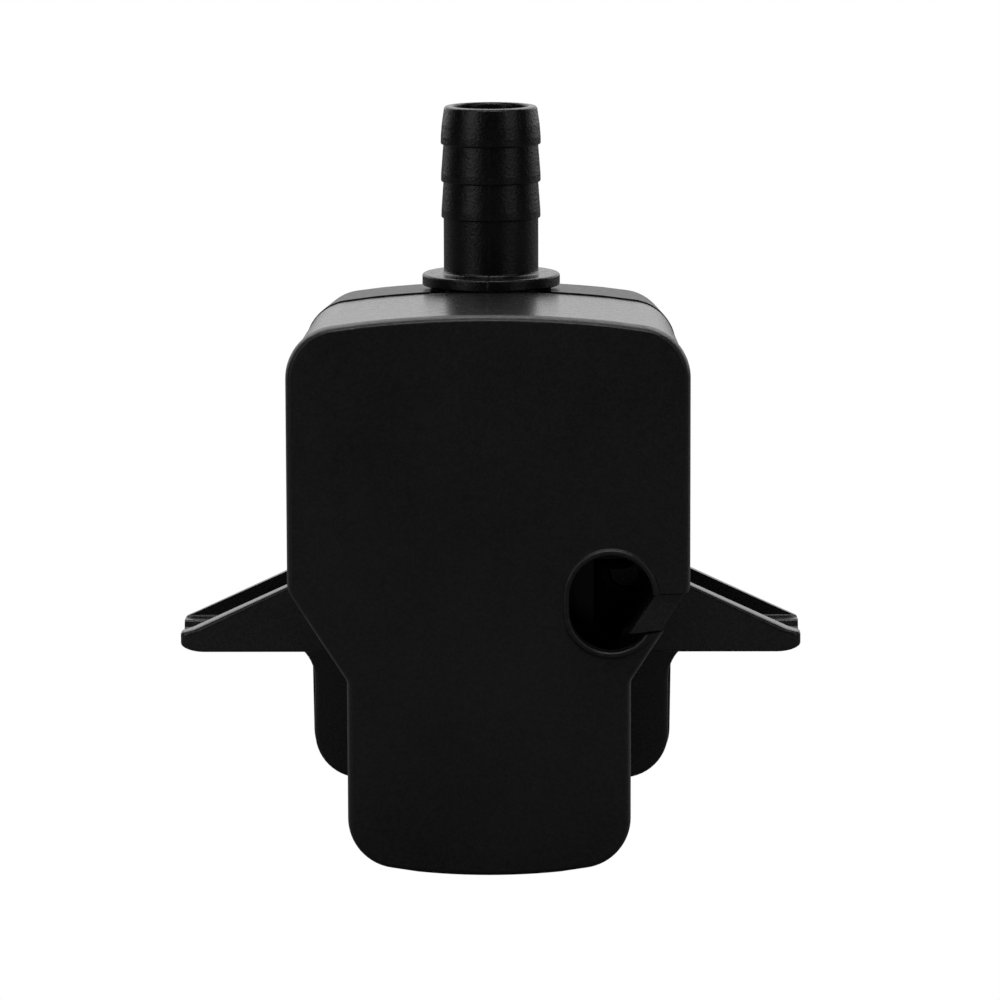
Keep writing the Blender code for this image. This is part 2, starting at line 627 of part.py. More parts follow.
bore = rod("outlet_bore", "z", (0, NOZ_D), BORE_R, ZR + 9.0, 130.0, 40)
groove = turned("seal_groove", [(20.3, VOL_D0 + 1.8), (20.3, VOL_D0 - 1.0), (18.1, VOL_D0 - 1.0), (18.1, VOL_D0 + 1.8)],
                "d", (0, ZR), 48, closed=True)
cut(vol, chamber)
vol = bake(vol)
cut(vol, eye, bore, groove)
vol = bake(vol)
spokes = []
for i in range(3):
    a = 2 * pi * i / 3 + pi / 2
    b = box("spoke_%d" % i, 3.6, 8.9, 57.0, 59.2, ZR - 0.8, ZR + 0.8)
    c = pt(0, 0, ZR)
    b.data.transform(Matrix.Translation(c) @ Matrix.Rotation(a, 4, 'Y') @ Matrix.Translation(-c))
    spokes.append(b)
holder = turned("bush_holder", [(0, 60.0), (4.4, 60.0), (4.4, 56.6), (3.3, 56.6), (3.3, 59.5), (0, 59.5)][::-1],
                "d", (0, ZR), 32)
join(vol, holder, *spokes)
vol = bake(vol)
screw_holes = [rod("volute_screw_hole_%d" % i, "d", (sx * SCREW_X, ZR + sz * SCREW_DZ), 1.6, VOL_D0 - 1, VOL_D0 + 5, 16)
               for i, (sx, sz) in enumerate(((1, 1), (-1, 1), (1, -1), (-1, -1)))]
cut(vol, *screw_holes)
finish_piece(vol, m_volute)

seal = turned("volute_seal", [(19.2 + 0.8 * cos(2 * pi * i / 12), VOL_D0 + 0.92 + 0.8 * sin(2 * pi * i / 12)) for i in range(12)],
              "d", (0, ZR), 48, closed=True)
finish_piece(seal, m_rubber)

HEAD_D = VOL_D0 + VOL_FLANGE_T + 0.1
for i, (sx, sz) in enumerate(((1, 1), (-1, 1), (1, -1), (-1, -1))):
    at = (sx * SCREW_X, ZR + sz * SCREW_DZ)
    sc = turned("volute_screw_%d" % (i + 1), [(0, HEAD_D + 1.9), (1.4, HEAD_D + 1.8), (2.4, HEAD_D + 1.2), (2.6, HEAD_D + 0.6), (2.6, HEAD_D),
                                              (1.2, HEAD_D), (1.2, 35.2), (0.6, 34.7), (0, 34.7)], "d", at, 20)
    for j in range(2):
        w, h = ((1.7, 0.3), (0.3, 1.7))[j]
        cross = box("cross_%d_%d" % (i, j), at[0] - w, at[0] + w, HEAD_D + 1.0, HEAD_D + 3.0, at[1] - h, at[1] + h)
        cut(sc, cross)
    sc = bake(sc)
    finish_piece(sc, m_screw)

# ------------------------------------------------------------------ strainer cover
def cover_section(t, inset):
    """Cover outline at t (0 at its open front, 1 where the back edge starts to round)."""
    return cover_outline(29.55 - 1.0 * t - inset, 28.5 - 1.1 * t - inset, 86.75 - 1.5 * t - inset,
                         8.25 + 1.2 * t + inset, 7.6 - inset * 0.8, 7.3 - inset * 0.8)


DB = COV_D1 - 3.0
cover = loft("strainer_cover", [(COV_D0, cover_section(0, 0)), (DB, cover_section(1, 0)),
                                (DB + 1.5, cover_section(1, 0.4)), (DB + 2.6, cover_section(1, 1.5)),
                                (COV_D1, cover_section(1, 3.0))])
cov_in = loft("cover_hollow", [(COV_D0 - 1.0, cover_section(-0.04, COV_WALL)), (COV_D1 - COV_WALL - 1.6, cover_section(0.96, COV_WALL)),
                               (COV_D1 - COV_WALL, cover_section(0.98, COV_WALL + 1.4))])
notch = flat("cover_notch", [[(-NOTCH_HALF, COV_D0 - 2), (NOTCH_HALF, COV_D0 - 2)] +
                             [(NOTCH_HALF * cos(pi * i / 12), NOZ_D + NOTCH_HALF * sin(pi * i / 12)) for i in range(13)]],
             70.0, 95.0, "xd")
cut(cover, cov_in, notch)
for r in range(7):
    z = 14.6 + 4.5 * r
    for s in (-1, 1):
        x0, x1 = sorted((s * 3.6, s * 21.6))
        cut(cover, box("slot_back_%d_%d" % (r, s), x0, x1, 59.5, 70.0, z - 1.2, z + 1.2))
for r in range(4):
    z = 14.6 + 4.5 * r
    for s in (-1, 1):
        x0, x1 = sorted((s * 22.0, s * 36.0))
        cut(cover, box("slot_side_%d_%d" % (r, s), x0, x1, 44.0, 57.0, z - 1.2, z + 1.2))
cut(cover, box("slider_slot", -1.6, 1.6, 60.0, 70.0, 33.0, 60.5))
finish_piece(cover, m_cover)

# ------------------------------------------------------------------ flow slider on the strainer cover
SLD_Z0, SLD_Z1 = 46.4, 60.4
slider = flat("flow_slider", [rounded([(-12.0, SLD_Z0, 1.5, 3), (12.0, SLD_Z0, 1.5, 3), (12.0, SLD_Z1, 1.5, 3), (-12.0, SLD_Z1, 1.5, 3)])],
              COV_D1 + 0.25, COV_D1 + 1.6)
stem = box("slider_stem", -1.25, 1.25, 61.2, COV_D1 + 0.8, 52.4, 60.1)
keeper = flat("slider_keeper", [rounded([(-3.0, 52.4, 0.6, 2), (3.0, 52.4, 0.6, 2), (3.0, 60.1, 0.6, 2), (-3.0, 60.1, 0.6, 2)])],
              60.9, COV_D1 - COV_WALL - 0.3)
ribs = [box("slider_rib_%d" % i, -5.0, 5.0, COV_D1 + 1.2, D_BACK, z - 0.5, z + 0.5) for i, z in enumerate((51.4, 53.4, 55.4))]
join(slider, stem, keeper, *ribs)
slider = bake(slider)
finish_piece(slider, m_slider)

for ob in CUTTERS.objects:
    ob.display_type = 'WIRE'
    ob.hide_render = True
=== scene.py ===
"""Looks of the submersible circulation pump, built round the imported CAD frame.

Lengths in the modelling functions are millimetres: x across, d behind the flat rear
cap, z above the cap's lowest point. W() turns them into metres in the row frame.
"""

import bpy
import bmesh
from math import sin, cos, tan, pi, sqrt, atan2, hypot, radians
from mathutils import Matrix, Vector


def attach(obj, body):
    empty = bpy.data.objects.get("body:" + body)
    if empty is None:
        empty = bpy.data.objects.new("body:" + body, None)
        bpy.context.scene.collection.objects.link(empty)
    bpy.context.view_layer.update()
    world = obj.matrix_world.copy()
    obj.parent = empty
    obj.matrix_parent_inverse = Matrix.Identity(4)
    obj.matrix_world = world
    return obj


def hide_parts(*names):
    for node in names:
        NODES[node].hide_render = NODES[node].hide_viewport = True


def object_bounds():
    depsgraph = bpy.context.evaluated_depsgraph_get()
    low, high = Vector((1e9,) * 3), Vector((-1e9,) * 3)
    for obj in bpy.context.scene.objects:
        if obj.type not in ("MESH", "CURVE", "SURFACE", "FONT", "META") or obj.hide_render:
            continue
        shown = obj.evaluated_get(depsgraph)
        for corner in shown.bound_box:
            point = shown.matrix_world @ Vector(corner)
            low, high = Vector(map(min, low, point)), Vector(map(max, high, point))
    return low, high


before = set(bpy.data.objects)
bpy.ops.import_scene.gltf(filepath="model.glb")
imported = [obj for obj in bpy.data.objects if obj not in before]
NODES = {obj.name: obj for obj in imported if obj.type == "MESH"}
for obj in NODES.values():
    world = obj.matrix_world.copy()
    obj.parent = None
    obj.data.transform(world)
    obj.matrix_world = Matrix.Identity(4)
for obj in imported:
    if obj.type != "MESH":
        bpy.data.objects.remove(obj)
CAD_LO, CAD_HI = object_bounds()
MM = 0.001
# the frame's own corners place the depth and height origins
YC = (CAD_HI.y - CAD_LO.y) / MM / 2 - 0.45
ZB = -CAD_LO.z / MM + 0.4
SC = bpy.context.scene


def W(x, d, z):
    return Vector((x * MM, (d - YC) * MM, (z + ZB) * MM))


# ============================================================ camera
def make_camera():
    f, pitch, yaw, roll = 5600.0, radians(8.97229633), radians(-0.60222990), radians(-0.17213294)
    fwd = Vector((sin(yaw) * cos(pitch), cos(yaw) * cos(pitch), -sin(pitch)))
    right = Vector((cos(yaw), -sin(yaw), 0.0))
    up = right.cross(fwd)
    r2 = right * cos(roll) + up * sin(roll)
    u2 = -right * sin(roll) + up * cos(roll)
    cam = bpy.data.objects.new("camera", bpy.data.cameras.new("camera"))
    SC.collection.objects.link(cam)
    m = Matrix((r2, u2, -fwd)).transposed().to_4x4()
    m.translation = W(10.7191, -847.1531, 192.5938)
    cam.matrix_world = m
    cam.data.sensor_fit = 'HORIZONTAL'
    cam.data.sensor_width = 36.0
    cam.data.lens = f * 36.0 / 1000.0
    cam.data.clip_start = 0.05
    cam.data.clip_end = 60.0
    SC.camera = cam


make_camera()


# ============================================================ outlines
def rounded(verts, closed=True):
    """Outline from (x, z, radius, steps) corners, each rounded by an arc."""
    out = []
    n = len(verts)
    for i, (x, z, r, k) in enumerate(verts):
        if r <= 0 or (not closed and i in (0, n - 1)):
            out.append((x, z))
            continue
        ax, az = verts[i - 1][0] - x, verts[i - 1][1] - z
        bx, bz = verts[(i + 1) % n][0] - x, verts[(i + 1) % n][1] - z
        la, lb = hypot(ax, az), hypot(bx, bz)
        ax, az, bx, bz = ax / la, az / la, bx / lb, bz / lb
        c = max(-1.0, min(1.0, ax * bx + az * bz))
        half = sqrt(max(1e-12, (1 - c) / 2))
        t = r / half * sqrt(max(1e-12, (1 + c) / 2))
        mx, mz = ax + bx, az + bz
        lm = hypot(mx, mz)
        cx, cz = x + mx / lm * r / half, z + mz / lm * r / half
        a0 = atan2(z + az * t - cz, x + ax * t - cx)
        a1 = atan2(z + bz * t - cz, x + bx * t - cx)
        da = a1 - a0
        while da > pi:
            da -= 2 * pi
        while da < -pi:
            da += 2 * pi
        for j in range(k + 1):
            an = a0 + da * j / k
            out.append((cx + r * cos(an), cz + r * sin(an)))
    return out


def mirror_loop(half):
    return half + [(-x, z) for x, z in reversed(half) if x > 1e-6]


def dome(x0, x1, n, top, rad, sign=-1.0):
    return [(x0 + (x1 - x0) * i / n, top + sign * (x0 + (x1 - x0) * i / n) ** 2 / (2 * rad)) for i in range(n + 1)]


def keystone(inset=0.0, hu=31.03, hl=21.9, top=87.17, bot=-0.3, r_top=8.2, r_bot=7.9, ridge=0.0):
    """Right half from the bottom middle to the top middle, then mirrored."""
    hu, hl, top, bot = hu - inset, hl - inset, top - inset, bot + inset
    zl, zu = 30.3 + 0.55 * inset, 44.4 + 0.55 * inset
    v = [(x, z, 0, 0) for x, z in dome(0.0, 11.0, 6, bot, 108.0, 1.0)]
    v += [(hl, bot + hl * hl / 216.0, max(r_bot - inset, 0.8), 16),
          (hl, zl, 1.5 + inset, 6),
          (hu, zu, max(3.6 - inset, 0.6), 8),
          (hu, top - hu * hu / 364.0, max(r_top - inset, 0.8), 18)]
    v += [(x, z, 0, 0) for x, z in dome(19.0, 0.5, 10, top, 182.0)]
    v += [(0.3, top, 0, 0), (0.12, top + ridge, 0, 0), (0.0, top + ridge, 0, 0)]
    return mirror_loop(rounded(v, closed=False))


def lerp_loop(a, b, t):
    return [(p[0] + (q[0] - p[0]) * t, p[1] + (q[1] - p[1]) * t) for p, q in zip(a, b)]


def obround(cx, cz, hw, hh, n=40):
    s = hh - hw
    p = [(cx + hw * cos(pi * i / n), cz + s + hw * sin(pi * i / n)) for i in range(n + 1)]
    p += [(cx - hw * cos(pi * i / n), cz - s - hw * sin(pi * i / n)) for i in range(n + 1)]
    return p


def fillet_steps(r, n, lo_first=True):
    """(inset, distance from the face) pairs round a quarter circle of radius r, face first."""
    return [(r * (1 - sin(pi / 2 * i / n)), r * (1 - cos(pi / 2 * i / n))) for i in range(n + 1)]


# ============================================================ mesh helpers
def mesh_object(name, bm):
    bmesh.ops.recalc_face_normals(bm, faces=bm.faces)
    me = bpy.data.meshes.new(name)
    bm.to_mesh(me)
    bm.free()
    ob = bpy.data.objects.new(name, me)
    SC.collection.objects.link(ob)
    return ob


def loft(name, sections, closed=False):
    """Body through rings [(d, outline), ...]; closed joins the last ring to the first."""
    bm = bmesh.new()
    rings = [[bm.verts.new(W(x, d, z)) for x, z in loop] for d, loop in sections]
    skin(bm, rings, closed)
    return mesh_object(name, bm)


def skin(bm, rings, closed=False):
    n = len(rings[0])
    pairs = list(zip(rings, rings[1:])) + ([(rings[-1], rings[0])] if closed else [])
    for a, b in pairs:
        for i in range(n):
            j = (i + 1) % n
            bm.faces.new((a[i], a[j], b[j], b[i]))
    if not closed:
        bm.faces.new(list(reversed(rings[0])))
        bm.faces.new(rings[-1])


def angles(n, ridge_at=None):
    """Angles round a turned piece, with a few extra close to the parting lines."""
    out = [2 * pi * i / n for i in range(n)]
    if ridge_at:
        keep = []
        for a in out:
            if all(abs(((a - r + pi) % (2 * pi)) - pi) > radians(2.2) for r in ridge_at):
                keep.append(a)
        for r in ridge_at:
            keep += [(r + radians(k)) % (2 * pi) for k in (-2.0, -1.1, -0.45, 0.45, 1.1, 2.0)]
        out = sorted(keep)
    return out


def turned(name, profile, axis, at, n=96, closed=False, ridge_at=None, ridge=0.0):
    """Profile of (radius, height) turned about an axis through at, as quads."""
    bm = bmesh.new()
    angs = angles(n, ridge_at)
    rings = []
    for a in angs:
        k = 0.0
        if ridge_at:
            k = max((1.0 if abs(((a - r + pi) % (2 * pi)) - pi) < radians(0.6) else 0.0) for r in ridge_at)
        ring = []
        for r, h in profile:
            rr = r + (ridge * k if r > 0.5 else 0.0)
            if axis == "z":
                ring.append(W(at[0] + rr * cos(a), at[1] + rr * sin(a), h))
            else:
                ring.append(W(at[0] + rr * cos(a), h, at[1] + rr * sin(a)))
        rings.append(ring)
    if closed:
        vr = [[bm.verts.new(p) for p in ring] for ring in rings]
        m = len(profile)
        for i in range(len(vr)):
            a, b = vr[i], vr[(i + 1) % len(vr)]
            for k in range(m):
                kk = (k + 1) % m
                bm.faces.new((a[k], a[kk], b[kk], b[k]))
    else:
        # the profile's two ends lie on the axis
        first, last = bm.verts.new(rings[0][0]), bm.verts.new(rings[0][-1])
        vr = [[bm.verts.new(p) for p in ring[1:-1]] for ring in rings]
        m = len(vr[0])
        for i in range(len(vr)):
            a, b = vr[i], vr[(i + 1) % len(vr)]
            bm.faces.new((first, a[0], b[0]))
            for k in range(m - 1):
                bm.faces.new((a[k], a[k + 1], b[k + 1], b[k]))
            bm.faces.new((a[-1], last, b[-1]))
    return mesh_object(name, bm)


def prism(name, loop, lo, hi, plane="xz", edge=0.0, seg=3, edge_lo=None):
    """Outline extruded between lo and hi, with a filleted edge at either end where edge > 0.
    plane "xz": along depth. "xd": along height, outline in (x, depth). "dz": along x, outline in (depth, height)."""
    bm = bmesh.new()

    def P(u, v, w):
        if plane == "xz":
            return W(u, w, v)
        if plane == "xd":
            return W(u, v, w)
        return W(w, u, v)

    a = [bm.verts.new(P(u, v, lo)) for u, v in loop]
    b = [bm.verts.new(P(u, v, hi)) for u, v in loop]
    n = len(a)
    for i in range(n):
        j = (i + 1) % n
        bm.faces.new((a[i], a[j], b[j], b[i]))
    bm.faces.new(list(reversed(a)))
    bm.faces.new(b)
    ob = mesh_object(name, bm)
    if edge > 0:
        soften(ob, edge, seg)
    return ob


def box(name, x0, x1, d0, d1, z0, z1, edge=0.0, seg=3):
    bm = bmesh.new()
    bmesh.ops.create_cube(bm, size=1.0)
    lo, hi = W(x0, d0, z0), W(x1, d1, z1)
    for v in bm.verts:
        v.co = Vector([lo[k] if v.co[k] < 0 else hi[k] for k in range(3)])
    ob = mesh_object(name, bm)
    if edge > 0:
        soften(ob, edge, seg)
    return ob


def apply_mods(ob):
    dg = bpy.context.evaluated_depsgraph_get()
    dg.update()
    me = bpy.data.meshes.new_from_object(ob.evaluated_get(dg))
    ob.modifiers.clear()
    old = ob.data
    ob.data = me
    bpy.data.meshes.remove(old)
    bm = bmesh.new()
    bm.from_mesh(me)
    bmesh.ops.remove_doubles(bm, verts=bm.verts, dist=0.0000015)
    bmesh.ops.dissolve_degenerate(bm, edges=bm.edges, dist=0.0000005)
    bm.to_mesh(me)
    bm.free()
    return ob


def soften(ob, width, seg=3, angle=40.0):
    m = ob.modifiers.new("edge", 'BEVEL')
    m.width = width * MM
    m.segments = seg
    m.limit_method = 'ANGLE'
    m.angle_limit = radians(angle)
    m.use_clamp_overlap = True
    return apply_mods(ob)


def boolean(ob, op, others, solver='EXACT'):
    for other in others:
        m = ob.modifiers.new(other.name, 'BOOLEAN')
        m.operation = op
        m.solver = solver
        m.object = other
        apply_mods(ob)
        bpy.data.objects.remove(other, do_unlink=True)
    return ob


def cut(ob, *others):
    return boolean(ob, 'DIFFERENCE', others)


def join(ob, *others):
    return boolean(ob, 'UNION', others)


def shade(ob, sharp=38.0, weighted=True):
    ob.data.shade_smooth()
    ob.data.set_sharp_from_angle(angle=radians(sharp))
    if weighted:
        m = ob.modifiers.new("normals", 'WEIGHTED_NORMAL')
        m.keep_sharp = True
        m.weight = 60
        m.mode = 'FACE_AREA_WITH_ANGLE'
    return ob


# ============================================================ materials
def new_mat(name):
    m = bpy.data.materials.new(name)
    m.use_nodes = True
    nt = m.node_tree
    return m, nt, nt.nodes["Principled BSDF"]


def node(nt, kind, **kw):
    n = nt.nodes.new(kind)
    for k, v in kw.items():
        setattr(n, k, v)
    return n


def ramp2(nt, src, lo, hi, a, b):
    r = node(nt, "ShaderNodeMapRange")
    r.inputs["From Min"].default_value = lo
    r.inputs["From Max"].default_value = hi
    r.inputs["To Min"].default_value = a
    r.inputs["To Max"].default_value = b
    nt.links.new(src, r.inputs["Value"])
    return r.outputs["Result"]


def moulded(name, rgb, rough=0.42, spec=0.5, grain=0.22, grain_scale=3400.0, vary=0.06, depth=0.00003, tone=0.16):
    """Moulded plastic with a fine spark-eroded grain, slight tone and gloss variation."""
    m, nt, b = new_mat(name)
    tc = node(nt, "ShaderNodeTexCoord")
    n1 = node(nt, "ShaderNodeTexNoise")
    n1.inputs["Scale"].default_value = grain_scale
    n1.inputs["Detail"].default_value = 3.0
    n1.inputs["Roughness"].default_value = 0.6
    n2 = node(nt, "ShaderNodeTexNoise")
    n2.inputs["Scale"].default_value = 48.0
    n2.inputs["Detail"].default_value = 4.0
    n3 = node(nt, "ShaderNodeTexNoise")
    n3.inputs["Scale"].default_value = 900.0
    n3.inputs["Detail"].default_value = 2.0
    for n in (n1, n2, n3):
        nt.links.new(tc.outputs["Object"], n.inputs["Vector"])
    bump = node(nt, "ShaderNodeBump")
    bump.inputs["Strength"].default_value = grain
    bump.inputs["Distance"].default_value = depth
    nt.links.new(n1.outputs["Fac"], bump.inputs["Height"])
    nt.links.new(bump.outputs["Normal"], b.inputs["Normal"])
    # tone: a broad drift and a fine speckle
    mix = node(nt, "ShaderNodeMix", data_type='RGBA')
    mix.inputs["A"].default_value = (*[c * (1 - tone) for c in rgb], 1)
    mix.inputs["B"].default_value = (*[min(1.0, c * (1 + tone)) for c in rgb], 1)
    add = node(nt, "ShaderNodeMath", operation='ADD')
    nt.links.new(ramp2(nt, n2.outputs["Fac"], 0.34, 0.66, 0.0, 0.42), add.inputs[0])
    nt.links.new(ramp2(nt, n1.outputs["Fac"], 0.38, 0.62, 0.0, 0.66), add.inputs[1])
    nt.links.new(add.outputs[0], mix.inputs["Factor"])
    nt.links.new(mix.outputs["Result"], b.inputs["Base Color"])
    nt.links.new(ramp2(nt, n3.outputs["Fac"], 0.3, 0.7, rough - vary, rough + vary), b.inputs["Roughness"])
    b.inputs["Specular IOR Level"].default_value = spec
    return m


def metal(name, rgb, rough, aniso=0.0, lines=None, scratch=0.08):
    """Metal with fine turning or layer lines along one axis where lines = (axis, scale)."""
    m, nt, b = new_mat(name)
    b.inputs["Metallic"].default_value = 1.0
    b.inputs["Anisotropic"].default_value = aniso
    tc = node(nt, "ShaderNodeTexCoord")
    ns = node(nt, "ShaderNodeTexNoise")
    ns.inputs["Scale"].default_value = 1400.0
    ns.inputs["Detail"].default_value = 3.0
    nt.links.new(tc.outputs["Object"], ns.inputs["Vector"])
    mix = node(nt, "ShaderNodeMix", data_type='RGBA')
    mix.inputs["A"].default_value = (*[c * 0.8 for c in rgb], 1)
    mix.inputs["B"].default_value = (*[min(1, c * 1.12) for c in rgb], 1)
    nt.links.new(ns.outputs["Fac"], mix.inputs["Factor"])
    nt.links.new(mix.outputs["Result"], b.inputs["Base Color"])
    nt.links.new(ramp2(nt, ns.outputs["Fac"], 0.3, 0.7, max(0.05, rough - scratch), rough + scratch), b.inputs["Roughness"])
    bump = node(nt, "ShaderNodeBump")
    bump.inputs["Strength"].default_value = 0.35
    bump.inputs["Distance"].default_value = 0.00004
    if lines:
        wv = node(nt, "ShaderNodeTexWave", wave_type='BANDS', bands_direction=lines[0])
        wv.inputs["Scale"].default_value = lines[1]
        wv.inputs["Distortion"].default_value = 0.4
        nt.links.new(tc.outputs["Object"], wv.inputs["Vector"])
        nt.links.new(wv.outputs["Fac"], bump.inputs["Height"])
    else:
        nt.links.new(ns.outputs["Fac"], bump.inputs["Height"])
        bump.inputs["Strength"].default_value = 0.12
    nt.links.new(bump.outputs["Normal"], b.inputs["Normal"])
    return m


BLACK = (0.0076, 0.0076, 0.0078)
BLACK_H = (0.0140, 0.0140, 0.0142)
BLACK_V = (0.0036, 0.0037, 0.0047)
M_CAP = moulded("cap_satin_black", BLACK, 0.38, 0.5, 0.5, 2200.0, 0.06, 0.00012, 0.75)
M_HOUSING = moulded("housing_satin_black", BLACK_H, 0.26, 0.5, 0.3, 2300.0, 0.02, 0.00006, 0.6)
M_COVER = moulded("cover_satin_black", BLACK, 0.38, 0.15, 0.3, 2300.0, 0.025, 0.00006, 0.6)
M_VOLUTE = moulded("volute_satin_black", BLACK_V, 0.25, 0.42, 0.5, 2300.0, 0.04, 0.00015, 0.6)
M_SLIDER = moulded("slider_dark_grey", (0.028, 0.029, 0.031), 0.42, 0.5, 0.2)
M_CAN = moulded("can_black", (0.0028, 0.0028, 0.0030), 0.62, 0.08, 0.2)
M_RUBBER = moulded("soft_rubber", (0.009, 0.009, 0.010), 0.8, 0.12, 0.5, 5200.0, 0.05, 0.00005)
M_BOBBIN = moulded("bobbin_natural_nylon", (0.70, 0.66, 0.54), 0.45, 0.5, 0.12)
M_FUSE = moulded("fuse_white_sleeve", (0.78, 0.78, 0.75), 0.55, 0.4, 0.3, 6000.0)
M_FERRITE = moulded("sintered_ferrite", (0.045, 0.045, 0.05), 0.55, 0.5, 0.5, 2600.0, 0.08, 0.00006)
M_SLEEVE = moulded("rotor_nylon", (0.66, 0.63, 0.55), 0.42, 0.5, 0.1)
M_IMPELLER = moulded("impeller_light_grey", (0.52, 0.53, 0.54), 0.36, 0.5, 0.1)
M_CERAMIC = moulded("ground_alumina", (0.80, 0.78, 0.73), 0.22, 0.6, 0.08, 5200.0, 0.04)
M_STEEL = metal("laminated_steel", (0.33, 0.33, 0.34), 0.42, 0.3, ('Y', 3200.0))
M_COPPER = metal("enamelled_copper", (0.60, 0.25, 0.10), 0.28, 0.0, ('Z', 1900.0))
M_SCREW = metal("stainless_steel", (0.58, 0.58, 0.60), 0.26, 0.2)


def resin_material():
    """Cast epoxy: glossy, slightly wavy surface with a few fine specks."""
    m, nt, b = new_mat("cast_epoxy")
    b.inputs["Base Color"].default_value = (0.008, 0.008, 0.009, 1)
    b.inputs["Roughness"].default_value = 0.24
    b.inputs["Specular IOR Level"].default_value = 0.2
    tc = node(nt, "ShaderNodeTexCoord")
    ns = node(nt, "ShaderNodeTexNoise")
    ns.inputs["Scale"].default_value = 160.0
    ns.inputs["Detail"].default_value = 3.0
    fine = node(nt, "ShaderNodeTexNoise")
    fine.inputs["Scale"].default_value = 2600.0
    nt.links.new(tc.outputs["Object"], ns.inputs["Vector"])
    nt.links.new(tc.outputs["Object"], fine.inputs["Vector"])
    mix = node(nt, "ShaderNodeMix", data_type='RGBA')
    mix.inputs["A"].default_value = (0.0025, 0.0025, 0.0028, 1)
    mix.inputs["B"].default_value = (0.007, 0.007, 0.007, 1)
    nt.links.new(ramp2(nt, fine.outputs["Fac"], 0.45, 0.8, 0.0, 1.0), mix.inputs["Factor"])
    nt.links.new(mix.outputs["Result"], b.inputs["Base Color"])
    bump = node(nt, "ShaderNodeBump")
    bump.inputs["Strength"].default_value = 0.3
    bump.inputs["Distance"].default_value = 0.0003
    nt.links.new(ns.outputs["Fac"], bump.inputs["Height"])
    nt.links.new(bump.outputs["Normal"], b.inputs["Normal"])
    return m


M_RESIN = resin_material()


def dress(ob, mat, body, nodes=()):
    ob.data.materials.clear()
    ob.data.materials.append(mat)
    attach(ob, body)
    if nodes:
        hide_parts(*nodes)
    return ob


# ============================================================ rear cap
HX, HZ, HW, HH = 18.85, 42.62, 6.4, 7.5


def make_cap():
    sec = [(2.0 * dd, keystone(0.95 * i)) for i, dd in fillet_steps(1.0, 12)]
    sec += [(2.12, keystone(0.03)), (2.2, keystone(0.12))]
    cap = loft("rear_cap_shell", sec)
    # raised half-round bead round the cord hole, one with the cap
    bead_prof = [(0.0, 2.1), (0.0, -0.10), (0.07, -0.24), (0.20, -0.35), (0.36, -0.42), (0.54, -0.445), (0.72, -0.41),
                 (0.88, -0.31), (0.99, -0.17), (1.06, -0.05), (1.16, 0.03), (1.16, 2.1)]
    cut(cap, prism("hole_cut", obround(HX, HZ, HW + 0.55, HH + 0.55), -1.0, 4.0))
    bead = loft("bead", [(d, obround(HX, HZ, HW + o, HH + o)) for o, d in bead_prof], closed=True)
    join(cap, bead)
    skirt = loft("skirt", [(1.8, keystone(4.05)), (5.7, keystone(4.05)), (6.0, keystone(4.3)), (6.0, keystone(5.0)),
                           (5.8, keystone(5.25)), (1.8, keystone(5.25))], closed=True)
    cut(skirt, box("skirt_gap", 8.0, 36.0, 1.0, 8.0, 26.0, 59.0))
    join(cap, skirt)
    for k, (x, z) in enumerate(((19.2, 76.0), (-19.2, 76.0), (13.6, 20.4), (-13.6, 20.4))):
        join(cap, turned("post_%d" % k, [(0, 12.0), (1.5, 12.0), (1.8, 11.7), (1.8, 1.8), (0, 1.8)], "d", (x, z), 40))
    slit = [(20.0, 37.4), (23.9, 37.75), (34.0, 39.0), (34.0, 44.4), (20.0, 43.9)]
    cut(cap, prism("slit_cut", slit, -3.0, 5.0))
    shade(cap, 36)
    return dress(cap, M_CAP, "rear_cover", ["rear_cap"])


make_cap()


# ============================================================ motor housing
def housing_loop(d, inset=0.0, ridge=0.0):
    """Outline of the housing at depth d: it tapers a little towards its back."""
    t = (d - 2.4) / (38.6 - 2.4)
    a = keystone(0.3 + inset, ridge=ridge)
    b = keystone(0.3 + inset, hu=29.65, hl=21.9, top=86.65, r_top=7.5, ridge=ridge)
    return lerp_loop(a, b, t)


